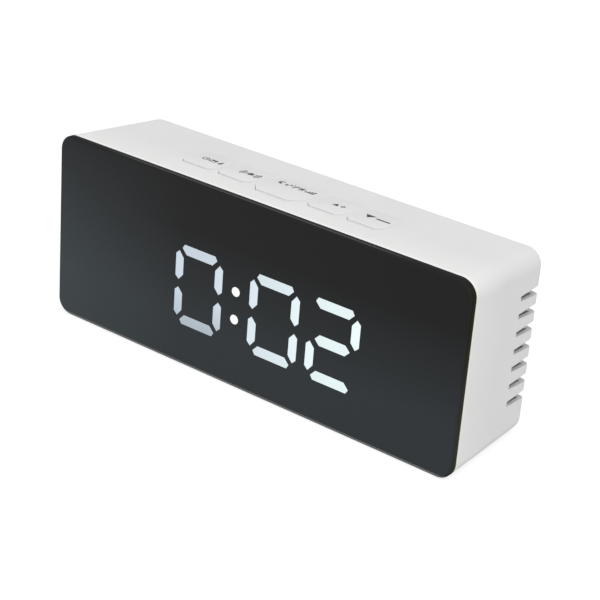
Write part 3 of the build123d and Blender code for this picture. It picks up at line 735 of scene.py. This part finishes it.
digits = make_digits()
colon_radius, colon_rise = 1.38, 4.15
middle_x, middle_z = display_place.x / millimetre, display_place.z / millimetre
dots = [
    plate(circle(middle_x, middle_z + rise, colon_radius), panel_front - bar_depth, panel_front)
    for rise in (-colon_rise, colon_rise)
]
add_piece(shell_mesh("lit_colon", *dots), "clock", dot_finish())
print("Lit bars:", len(digits.data.polygons) // 8, "and", len(dots), "dots")

# %% [markdown]
# ## Buttons
# A button is a cap that shows, a flange that keeps it from falling out, and a square stem that
# presses the switch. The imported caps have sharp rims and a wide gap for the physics. These are
# modelled again as rings of points: each ring is the cap's outline at one height, and a few rings
# close together turn the rim over in a small round. The gap that is left is a thin line in front and
# at the slanted corners, and next to nothing at the sides.

# %% The sloping top
slope = math.atan(case_taper / shell_depth)
top_start = Vector((0, panel_high.y, panel_high.z))
top_back = Vector((0, math.cos(slope), -math.sin(slope)))
top_up = Vector((0, math.sin(slope), math.cos(slope)))


def on_top(x, back, up):
    """The place at millimetres along the clock, back down its sloping top and up from it."""
    return top_start + (Vector((x, 0, 0)) + top_back * back + top_up * up) * millimetre


def rounded(corners, radius, grow=0.0, steps=5):
    """An outline that runs anticlockwise, its corners rounded, moved outwards by grow."""
    points = []
    for here, corner in enumerate(Vector(pair) for pair in corners):
        back = (Vector(corners[here - 1]) - corner).normalized()
        ahead = (Vector(corners[(here + 1) % len(corners)]) - corner).normalized()
        half = back.angle(ahead) / 2
        centre = corner + (back + ahead).normalized() * (radius / math.sin(half))
        spoke = (corner + back * (radius / math.tan(half)) - centre) * (1 + grow / radius)
        for step in range(steps + 1):
            turn = Matrix.Rotation((math.pi - 2 * half) * step / steps, 2)
            points.append(centre + turn @ spoke)
    return points


# %% Caps, flanges and stems
key_rear = 21.8
key_rise = 0.4
key_wall = 2.15
key_rounding = 0.8
key_grow = -0.02
key_widening = 0.15
rim_radius = 0.05
flange_width = 0.6
flange_depth = 1.0
stem_half = 2.1
stem_length = 1.4
stem_middle = 15.45
rim_steps = 4
outer_row, inner_row, row_middle = 28.8, 15.7, -0.4
side_key = {"width": 11.6, "front": 9.1, "cut": (1.5, 2.0)}
snooze_key = {"width": 16.4, "front": 7.2, "cut": (3.0, 3.6)}
keys = {
    "mode": (row_middle - outer_row, side_key),
    "alarm": (row_middle - inner_row, side_key),
    "snooze": (row_middle, snooze_key),
    "up": (row_middle + inner_row, side_key),
    "down": (row_middle + outer_row, side_key),
}


def cap_height(form, back):
    """How far the cap stands above the top: all of its rise in front, nothing at the back."""
    return key_rise / (key_rear - form["front"]) * (key_rear - back)


def front_wall_shade(place):
    """1 on the front walls of the caps, below their rounded rims, where painted shade darkens them.
    """
    x, y, z = axes(place)
    along, above = (y - top_start.y) * (1 / millimetre), (z - top_start.z) * (1 / millimetre)
    back = along * top_back.y + above * top_back.z
    up = along * top_up.y + above * top_up.z
    at_side, in_middle = (
        (up < cap_height(form, back) - rim_radius) * (back < form["front"] + form["cut"][1])
        for form in (side_key, snooze_key)
    )
    middle_half = (snooze_key["width"] / 2 + key_widening) * millimetre
    is_middle = abs(x - row_middle * millimetre) < middle_half
    return at_side + is_middle * (in_middle - at_side)


def key_finish():
    place = start_finish("key_white")
    # Painted shade: the front walls of the caps are painted a little darker than their tops.
    base = blend(front_wall_shade(place), shell_white_painted_light(place), tone(226, 226, 225))
    return moulded(place, base, 0.45)


def key_corners(middle, form):
    """The six corners of a button seen from above, a hair wider and longer than it was packed."""
    half, front, (across, along) = form["width"] / 2, form["front"], form["cut"]
    side, rear = half + key_widening, key_rear + key_widening
    right = [(half - across, front), (side, front + along), (side, rear)]
    left = [(-x, back) for x, back in right[::-1]]
    return [(middle + x, back) for x, back in left + right]


def make_key(name, middle, form):
    """One button, with its cap, flange and stem."""
    corners = key_corners(middle, form)
    foot = -key_wall - flange_depth
    rings = [
        [on_top(x, back, up) for x, back in rounded(corners, key_rounding, grow)]
        for up, grow in ((foot, flange_width), (-key_wall, flange_width), (-key_wall, key_grow))
    ]
    for step in range(rim_steps + 1):
        turn = math.radians(90 * step / rim_steps)
        inwards = rim_radius * (1 - math.cos(turn))
        below = rim_radius * (1 - math.sin(turn))
        outline = rounded(corners, key_rounding, key_grow - inwards)
        rings.append([on_top(x, back, cap_height(form, back) - below) for x, back in outline])
    stem = [
        [on_top(middle + x * stem_half, stem_middle + y * stem_half, up) for x, y in square]
        for up in (foot - stem_length, foot + flange_depth / 2)
    ]
    mesh = shell_mesh(name + "_cap", rings, stem)
    smooth(mesh, 40)
    piece = add_piece(mesh, name + "_key", key_white)
    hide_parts(name + "_button")
    return piece


key_white = key_finish()
caps = [make_key(name, *place) for name, place in keys.items()]
print("Buttons:", [cap.name for cap in caps])

# %% [markdown]
# ## Printed marks
# Each button carries a generic sign for what it does: a clock face, a calendar leaf and a
# thermometer for the mode, a ringing bell, a moon and a lamp for snooze and light, and triangles.
# They are drawn as flat curves, because a filled curve takes outlines within outlines as holes, and
# then laid on the sloping caps as a film of ink. The usual sign for the plug's polarity stands over
# the inlet.

# %% Signs drawn as outlines
def box(x, y, width, height):
    """A rectangle about its middle."""
    return [(x + right * width / 2, y + up * height / 2) for right, up in square]


def bow(x, y, radius, width, start, end):
    """A bent bar: part of a ring."""
    return arc(x, y, radius + width / 2, start, end) + arc(x, y, radius - width / 2, end, start)


def stroke(x, y, start, end, width, angle):
    """A straight bar from one distance to another along a ray from a point."""
    along = Vector((math.cos(angle), math.sin(angle)))
    side = Vector((-along.y, along.x)) * width / 2
    ends = (along * start + side, along * start - side, along * end - side, along * end + side)
    return [(x + point.x, y + point.y) for point in ends]


def mode_sign():
    """A clock face with its hands, a calendar leaf and a thermometer."""
    hand = 0.15
    hands = [(-hand, -hand), (0.6, -hand), (0.6, hand), (hand, hand), (hand, 0.75), (-hand, 0.75)]
    face = [circle(-2.65, 0, 1.2), circle(-2.65, 0, 0.84), [(x - 2.65, y) for x, y in hands]]
    leaf = [box(0.1, -0.1, 2.3, 2.0), box(0.1, -0.4, 1.6, 0.75)]
    rings = [box(x, 1.05, 0.35, 0.3) for x in (-0.5, 0.7)]
    glass = arc(2.8, -0.6, 0.62, 120, 420, 16) + [(3.1, 1.2), (2.5, 1.2)]
    return face + leaf + rings + [glass]


def alarm_sign():
    """A bell between spreading rings of sound."""
    bell = arc(0, 0.3, 0.85, 0, 180) + [(-0.95, -0.35), (-1.2, -0.75), (1.2, -0.75), (0.95, -0.35)]
    sound = [
        bow(0, 0, radius, 0.36, middle - 33, middle + 33)
        for radius in (1.85, 2.5, 3.15)
        for middle in (0, 180)
    ]
    return [bell, arc(0, -0.85, 0.36, 180, 360)] + sound


def snooze_sign():
    """A moon and dots for sleep, a stroke, then a lamp with its rays and rising bars for light."""
    outer, inner, apart = 1.2, 0.92, 0.6
    meet = (apart**2 + outer**2 - inner**2) / (2 * apart)
    high = math.sqrt(outer**2 - meet**2)
    near = math.degrees(math.atan2(high, meet))
    far = math.degrees(math.atan2(high, meet - apart))
    moon = arc(-4.95, 0, outer, near, 360 - near, 18)
    moon += arc(-4.95 + apart, 0, inner, 360 - far, far, 14)
    dots = [circle(-3.05, -0.55, 0.58), circle(-1.95, 0.15, 0.48), circle(-1.2, 0.85, 0.36)]
    slash = [(-0.95, -1.25), (-0.35, -1.25), (0.5, 1.25), (-0.1, 1.25)]
    rays = [stroke(1.8, 0, 0.84, 1.28, 0.36, math.tau * step / 8) for step in range(8)]
    bars = [box(3.7 + step * 0.78, -0.7 + step * 0.22, 0.58, 1.0 + step * 0.44) for step in range(4)]
    return [moon, *dots, slash, circle(1.8, 0, 0.7), *rays, *bars]


def up_sign():
    """A triangle that points back, and a plus."""
    arm, plus = [(-0.2, -0.88), (0.2, -0.88), (0.2, -0.2)], []
    for quarter in range(4):
        plus += arm
        arm = [(-y, x) for x, y in arm]
    return [[(-2.05, -1.0), (-0.05, -1.0), (-1.05, 1.1)], [(x + 1.1, y) for x, y in plus]]


def down_sign():
    """A triangle that points to the front, and a minus."""
    return [[(-4.5, 1.2), (-2.85, -1.25), (-1.2, 1.2)], box(1.65, 0, 4.4, 0.85)]


# %% Ink on the caps
ink_depth = 0.01
ink = plastic("mark_ink", tone(30, 30, 32), 0.6, cloud=0.9, grain=9000.0)
side_line, snooze_line = 16.1, 18.3
signs = {
    "mode": (-28.4, side_line, mode_sign()),
    "alarm": (-14.75, side_line, alarm_sign()),
    "snooze": (-0.1, snooze_line, snooze_sign()),
    "up": (16.3, side_line, up_sign()),
    "down": (29.0, side_line, down_sign()),
}
inlet_x, inlet_line = 36.0, 15.6


def fill_outlines(name, outlines):
    """A thin flat mesh of filled outlines, in millimetres."""
    drawing = bpy.data.curves.new(name, "CURVE")
    drawing.dimensions = "2D"
    drawing.fill_mode = "BOTH"
    drawing.extrude = ink_depth / 2
    for outline in outlines:
        spline = drawing.splines.new("POLY")
        spline.points.add(len(outline) - 1)
        for point, (x, y) in zip(spline.points, outline):
            point.co = (x, y, 0, 1)
        spline.use_cyclic_u = True
    return plain_mesh(add_object(name, drawing), name)


def lay_ink(name, body, outlines, lay):
    """Outlines as a film of ink: lay turns millimetres across, along and up into a place."""
    mesh = fill_outlines(name, outlines)
    for vertex in mesh.vertices:
        vertex.co = lay(*vertex.co)
    return add_piece(mesh, body, material=ink)


def print_mark(name, middle, line, outlines):
    """Lays a sign on this button's cap, about a middle on a line across it."""
    form = keys[name][1]
    return lay_ink(
        name + "_mark", name + "_key", outlines,
        lambda x, y, up: on_top(middle + x, line + y, cap_height(form, line + y) + up),
    )


def inlet_sign():
    """The usual sign for a plug whose pin is positive: minus, ring, dot, plus."""
    ring = bow(0, 0, 0.95, 0.24, 40, 320)
    lines = [box(-1.75, 0, 1.3, 0.22), box(1.2, 0, 2.0, 0.22)]
    ends = [circle(side * 3.3, 0, radius) for side in (-1, 1) for radius in (0.95, 0.73)]
    uprights = [box(3.3, side * 0.29, 0.24, 0.33) for side in (-1, 1)]
    strokes = [box(side * 3.3, 0, 0.9, 0.24) for side in (-1, 1)]
    return [ring, *lines, circle(0, 0, 0.34), *ends, *uprights, *strokes]


def print_inlet_mark():
    """Lays the inlet's sign on the back wall, above the inlet."""
    wall = housing_high.y / millimetre
    return lay_ink(
        "inlet_mark", "clock", inlet_sign(),
        lambda x, z, up: Vector((inlet_x - x, wall + up, inlet_line + z)) * millimetre,
    )


marks = [print_mark(name, *sign) for name, sign in signs.items()] + [print_inlet_mark()]
print("Marks:", {mark.name: len(mark.data.polygons) for mark in marks})

# %% [markdown]
# ## Metal, and things that are part metal
# Bare metal gets fine streaks in its gloss. Many parts inside are plastic with metal ends or pins,
# though each is one mesh. For those a rule in X, Y and Z says where the metal is, and the same mask
# turns the colour, the Metallic value and the roughness.

# %% Metal finishes
def streaked(place, low, high):
    """Fine streaks along the clock's height."""
    sockets = {0: place, 1: (1.0, 1.0, 0.1)}
    drawn_out = place.graph.add("ShaderNodeVectorMath", sockets, {"operation": "MULTIPLY"})
    return noise(drawn_out, 2500.0, low, high)


def metal(name, colour, roughness):
    """Bare metal with an uneven, streaky gloss."""
    place = start_finish(name)
    return close_finish(
        place,
        Base_Color=cloudy(place, colour, 0.88, 300.0),
        Metallic=1.0,
        Roughness=streaked(place, roughness - 0.07, roughness + 0.07),
        Normal=grained(place, 2600.0, 2e-6),
    )


def part_metal(name, colour, rule):
    """A cloudy coating, with tinned metal where a rule over the X, Y and Z wires gives 1."""
    place = start_finish(name)
    mask = rule(*axes(place))
    return close_finish(
        place,
        Base_Color=blend(mask, cloudy(place, colour, 0.9, 200.0), solder),
        Metallic=mask,
        Roughness=streaked(place, 0.4, 0.5) - mask * 0.12,
        Normal=grained(place, 3200.0),
    )


def middle_of(name):
    """The middle of a node's box."""
    low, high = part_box(name)
    return (low + high) / 2


solder = tone(198, 196, 190)
hair = 0.02 * millimetre
nickel = metal("contact_nickel", tone(198, 194, 184), 0.27)
screws = ["case_screws", "board_screws", "key_board_screws", "power_board_screws"]
contacts = ["battery_plates", "jack_pin"]
give(metal("screw_steel", tone(170, 170, 168), 0.3), *screws)
give(nickel, *contacts)
give(metal("crystal_steel", tone(188, 188, 190), 0.22), "clock_crystal")
print("Bare metal:", screws, contacts, "and the crystal's can")

# %% Parts with metal ends
chip_half = 3.75 * millimetre
resistor_half = 0.62 * millimetre
thermistor_disc = 3.2 * millimetre
capacitor_face = 2.35 * millimetre
jack_bore = 1.85 * millimetre
switch_cover = -6.35 * millimetre
chip_middle = middle_of("clock_chip").z
resistor_middle = middle_of("chip_resistors").z
capacitor_place = middle_of("supply_capacitor")
capacitor_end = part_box("supply_capacitor")[1].y
thermistor_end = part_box("thermistor")[1].y
jack_place = middle_of("power_jack")
jack_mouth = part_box("jack_pin")[1].y
coated = {
    "clock_chip": (
        "chip_black", tone(32, 32, 34), lambda x, y, z: abs(z - chip_middle) > chip_half + hair
    ),
    "chip_resistors": (
        "resistor_black", tone(28, 28, 30), lambda x, y, z: abs(z - resistor_middle) > resistor_half
    ),
    "supply_capacitor": (
        "capacitor_sleeve",
        tone(30, 38, 66),
        lambda x, y, z: (y > capacitor_end - hair)
        * within(capacitor_face, x - capacitor_place.x, z - capacitor_place.z),
    ),
    "thermistor": (
        "thermistor_glass", tone(38, 40, 44), lambda x, y, z: y < thermistor_end - thermistor_disc
    ),
    "power_jack": (
        "jack_black",
        tone(30, 30, 31),
        lambda x, y, z: (y < jack_mouth) * within(jack_bore, x - jack_place.x, z - jack_place.z),
    ),
    "tact_switches": (
        "switch_black",
        tone(34, 34, 35),
        lambda x, y, z: (y - top_start.y) * top_up.y + (z - top_start.z) * top_up.z > switch_cover,
    ),
}
for name, (label, colour, rule) in coated.items():
    give(part_metal(label, colour, rule), name)
print("Part metal:", list(coated))

# %% Plastics, films and resin inside
key_names = list(keys)
plain_finishes = {
    "panel_tape": ("tape_black", tone(30, 30, 30), 0.85),
    "mask_film": ("film_black", tone(18, 18, 19), 0.35),
    "diffuser_film": ("film_white", tone(238, 239, 240), 0.5),
    "segment_reflector": ("reflector_white", tone(240, 240, 238), 0.4),
    "led_chips": ("led_yellow", tone(236, 204, 84), 0.3),
    "alarm_buzzer": ("buzzer_black", tone(32, 32, 33), 0.5),
    "jack_lead": ("lead_black", tone(30, 30, 31), 0.55),
}
for name, (label, colour, roughness) in plain_finishes.items():
    give(plastic(label, colour, roughness, cloud=0.9), name)
give(plastic("plunger_white", tone(222, 221, 214), 0.5), *[name + "_plunger" for name in key_names])
give(key_white, *[name + "_button" for name in key_names])


def resin_finish():
    """Milky resin that lets a little light through."""
    place = start_finish("lens_white")
    return close_finish(
        place,
        Base_Color=cloudy(place, tone(240, 242, 244)),
        Roughness=noise(place, 500.0, 0.12, 0.22),
        Transmission_Weight=0.25,
    )


give(resin_finish(), "segment_lenses")
print("Plain plastics:", list(plain_finishes), "and the keys, and resin in the light wells")

# %% [markdown]
# ## Boards, ribbon and cells
# A Brick Texture draws long tracks under the green lacquer, and a Voronoi Texture scatters tinned
# pads. All three boards are thin, so X and the sum of Y and Z serve as the two directions on each of
# them. The ribbon's grooves come from the fraction of a count across its width. A cell's rule counts
# from its middle towards its nub: a sleeve, a copper band, and bare steel at both ends.

# %% Boards and ribbon
pad_reach = 0.13
core_count, groove_start = 10.0, 0.42


def board_finish():
    place = start_finish("board_green")
    x, y, z = axes(place)
    sheet = place.graph.add("ShaderNodeCombineXYZ", {"X": x, "Y": y + z})
    tracks = place.graph.add(
        "ShaderNodeTexBrick",
        {"Vector": sheet, "Scale": 130.0, "Mortar Size": 0.03, "Brick Width": 0.9, "Row Height": 0.2},
        {"offset": 0.37, "offset_frequency": 3},
        output="Fac",
    )
    pads = place.graph.add("ShaderNodeTexVoronoi", {"Vector": sheet, "Scale": 330.0}) < pad_reach
    lacquer = blend(tracks, cloudy(place, tone(24, 92, 54), 0.85), tone(54, 134, 82))
    return close_finish(
        place,
        Base_Color=blend(pads, lacquer, solder),
        Metallic=pads,
        Roughness=noise(place, 300.0, 0.26, 0.36),
        Normal=bump(tracks + pads, 3e-5),
    )


def ribbon_finish():
    """Ten grey cores side by side, the first one red."""
    place = start_finish("ribbon_grey")
    low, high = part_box("key_ribbon")
    x = axes(place)[0]
    count = share_along(x, low.x, high.x) * core_count
    groove = abs(count.math("FRACT", count) - 0.5) > groove_start
    cores = blend(count < 1.0, tone(160, 160, 162), tone(178, 58, 50))
    return close_finish(
        place,
        # Painted shade: the grooves between the cores are painted darker grey.
        Base_Color=blend(groove, cores, tone(92, 92, 94)),
        Roughness=noise(place, 260.0, 0.42, 0.52),
        Normal=bump(1 - groove, 1e-4),
    )


boards = ["display_board", "key_board", "power_board"]
give(board_finish(), *boards)
give(ribbon_finish(), "key_ribbon")
print("Boards:", boards, "and a ribbon of", round(core_count), "cores")

# %% Cells
nub_length = 1.0 * millimetre
sleeve_rim = 4.5 * millimetre
band_length = 9.0 * millimetre
line_width = 0.8 * millimetre
cell_turns = {"lower_cell": 1, "middle_cell": -1, "upper_cell": 1}


def cell_finish(name, turn):
    """A sleeved cell; turn is 1 where its nub is at the right and -1 at the left."""
    place = start_finish(name + "_sleeve")
    x, y, z = axes(place)
    middle = middle_of(name)
    low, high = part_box(name)
    half = (high.x - low.x) / 2
    plus = (x - middle.x) * turn
    beyond = (plus > half - nub_length - hair) + (plus < hair - half)
    bare = beyond * within(sleeve_rim, y - middle.y, z - middle.z)
    sleeve = cloudy(place, tone(40, 46, 56), 0.9)
    band_start = half - nub_length - band_length
    banded = blend(plus > band_start, sleeve, tone(190, 140, 84))
    line = between(plus, band_start - line_width, band_start)
    printed = blend(line, banded, tone(226, 226, 222))
    return close_finish(
        place,
        Base_Color=blend(bare, printed, tone(205, 204, 200)),
        Metallic=bare,
        Roughness=streaked(place, 0.24, 0.36),
        Coat_Weight=(1 - bare) * 0.4,
    )


for name, turn in cell_turns.items():
    give(cell_finish(name, turn), name)
print("Cells, as they sit in series:", cell_turns)

# %% [markdown]
# ## Springs and grip ribs
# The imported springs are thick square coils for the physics. Here a Spiral node winds a cone, Curve
# to Mesh gives it a round wire, and an instance of it stands on a point at each cell's flat end,
# turned along the direction that the point carries. The fine ribs that a thumb finds on the battery
# door's finger are one rounded rod, set out on four points by the same tree as the digits' bars.

# %% Coil springs
spring_wire = 0.33 * millimetre
spring_base = 3.6 * millimetre
spring_tip = 2.4 * millimetre
spring_turns = 4.5


def spring_tree(material):
    """Geometry Nodes: a wire wound as a cone on each point, along the direction that it carries."""
    names = ("Wire", "Base", "Tip", "Length", "Turns")
    graph, given = start_tree("springs", [(name, "Float") for name in names])
    wire, base, tip, length, turns = (given.output(name) for name in names)
    cone = {"Rotations": turns, "Start Radius": base, "End Radius": tip, "Height": length}
    coil = graph.add("GeometryNodeCurveSpiral", {"Resolution": 24, **cone})
    section = graph.add("GeometryNodeCurvePrimitiveCircle", {"Resolution": 8, "Radius": wire})
    sockets = {"Curve": coil, "Profile Curve": section, "Fill Caps": True}
    wound = graph.add("GeometryNodeCurveToMesh", sockets)
    aim = {"Vector": on_point(graph, "aim", "FLOAT_VECTOR")}
    turned = graph.add("FunctionNodeAlignRotationToVector", aim, {"axis": "Z"})
    sockets = {"Points": given, "Instance": wound, "Rotation": turned}
    return end_tree(graph.add("GeometryNodeInstanceOnPoints", sockets), material)


def make_springs():
    """One spring at the flat end of each cell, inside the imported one."""
    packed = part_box("battery_springs")
    places, aims, lengths = [], [], []
    for name, turn in cell_turns.items():
        side = 0 if turn > 0 else 1
        middle = middle_of(name)
        start = packed[side].x + turn * (spring_wire + hair)
        places.append((start, middle.y, middle.z))
        aims += (turn, 0, 0)
        lengths.append(abs(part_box(name)[side].x - start) - spring_wire - hair)
    mesh = on_points(
        "contact_springs",
        {"place": places, "aim": ("FLOAT_VECTOR", "vector", aims)},
        spring_tree(nickel),
        wire=spring_wire, base=spring_base, tip=spring_tip, length=lengths[0], turns=spring_turns,
    )
    smooth(mesh, 60)
    piece = add_piece(mesh, "clock")
    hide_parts("battery_springs")
    return piece


springs = make_springs()
print("Springs:", len(springs.data.polygons), "faces")

# %% Ribs on the door's finger
rib_radius = 0.4
rib_rise = 0.3
rib_half_length = 3.2
rib_end_radius, rib_end_length = 0.12, 0.15
rib_pitch, rib_count = 1.3, 4
rib_middle = Vector((-18.0, 38.0))


def make_ribs():
    """Four rounded rods, sunk into the door so that only their backs stand out."""
    rod_y = housing_high.y / millimetre + rib_rise - rib_radius
    right = [(rib_half_length - rib_end_length, rib_radius), (rib_half_length, rib_end_radius)]
    left = [(-along, radius) for along, radius in right[::-1]]
    rings = [
        [
            Vector((rib_middle.x + along, rod_y + y, rib_middle.y + z)) * millimetre
            for y, z in circle(0, 0, radius, 12)
        ]
        for along, radius in left + right
    ]
    rises = [(step - (rib_count - 1) / 2) * rib_pitch for step in range(rib_count)]
    places = [((0, 0, rise * millimetre), 0, (1, 1, 1)) for rise in rises]
    mesh = set_out("door_grip", [shell_mesh("grip_rib", rings)], places, case_white)
    smooth(mesh, 50)
    return add_piece(mesh, "door")


ribs = make_ribs()
print("Ribs:", len(ribs.data.polygons), "faces")
print("Without a finish:", [name for name, node in nodes.items() if not node.data.materials[:]])
